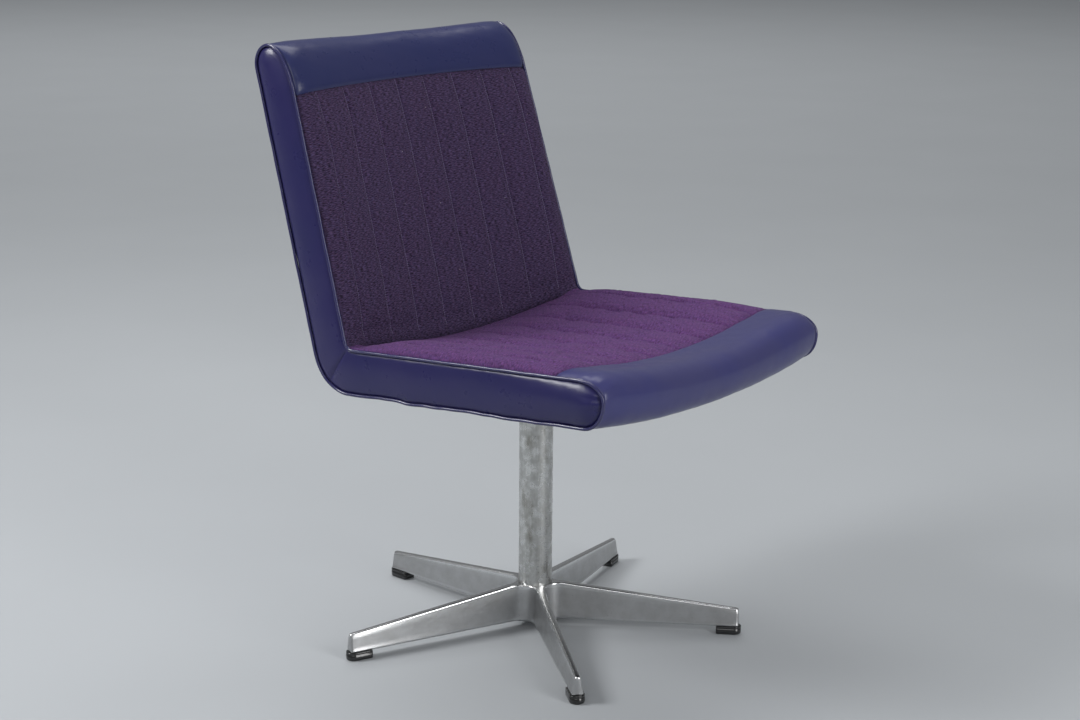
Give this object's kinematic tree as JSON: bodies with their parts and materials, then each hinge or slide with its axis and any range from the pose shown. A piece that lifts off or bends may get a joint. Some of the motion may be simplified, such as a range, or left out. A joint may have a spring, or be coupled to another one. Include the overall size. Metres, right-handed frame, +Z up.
{
  "type": "swivel chair",
  "caption": "Armless swivel side chair: channel-quilted seat and low back in one padded shell, piped vinyl edges, steel column and a cast star base on black glides.",
  "frame": {"origin": "on the floor, where the swivel axis meets it, which is within 6 mm of the middle of the chair's box", "axes": "+Z up along the swivel axis; a sitter faces -Y; +X is the sitter's left"},
  "size_m": [0.5708, 0.6334, 0.8408],
  "materials": {
    "cast_metal": "satin polished casting",
    "glide_black": "glossy",
    "column_metal": "dull mottled plating",
    "zinc": "zinc plated",
    "bush_plastic": "natural moulded",
    "bearing_steel": "ground and oiled",
    "cage_brass": "pressed",
    "plate_black": "semi-gloss black",
    "spacer_rubber": "matt",
    "shell_ply": "moulded plywood",
    "foam": "open-cell foam",
    "seat_fabric": "woven wool",
    "back_fabric": "woven wool",
    "roll_vinyl": "satin vinyl",
    "band_vinyl": "satin vinyl",
    "piping_vinyl": "satin vinyl",
    "lining": "woven lining"
  },
  "bodies": {
    "base": {"base_casting": "cast_metal", "glide_1": "glide_black", "glide_2": "glide_black", "glide_3": "glide_black", "glide_4": "glide_black", "glide_5": "glide_black", "column_tube": "column_metal", "foot_plug": "column_metal", "hub_washer": "zinc", "hub_bolt": "zinc", "lower_bush": "bush_plastic", "upper_bush": "bush_plastic", "lower_race": "bearing_steel"},
    "cage": {"ball_cage": "cage_brass", "bearing_balls": "bearing_steel"},
    "seat": {"upper_race": "bearing_steel", "spindle": "bearing_steel", "spindle_clip": "bearing_steel", "seat_plate": "plate_black", "plate_bolts": "zinc", "plate_washers": "zinc", "plate_spacers": "spacer_rubber", "tee_nuts": "zinc", "moulded_shell": "shell_ply", "seat_foam": "foam", "back_foam": "foam", "seat_panel": "seat_fabric", "back_panel": "back_fabric", "front_roll": "roll_vinyl", "top_roll": "roll_vinyl", "seat_band_left": "band_vinyl", "seat_band_right": "band_vinyl", "back_band_left": "band_vinyl", "back_band_right": "band_vinyl", "piping_left": "piping_vinyl", "piping_right": "piping_vinyl", "under_cover": "lining", "back_cover": "band_vinyl"}
  },
  "joints": [
    {"name": "swivel", "type": "hinge", "parent": "base", "child": "seat", "pos_m": [0, 0, 0.34], "axis": [0, 0, 1], "continuous": true},
    {"name": "cage_turn", "type": "hinge", "parent": "base", "child": "cage", "pos_m": [0, 0, 0.34], "axis": [0, 0, 1], "continuous": true}
  ],
  "couplings": [
    {"joint": "cage_turn", "follows": "swivel", "ratio": 0.5}
  ]
}
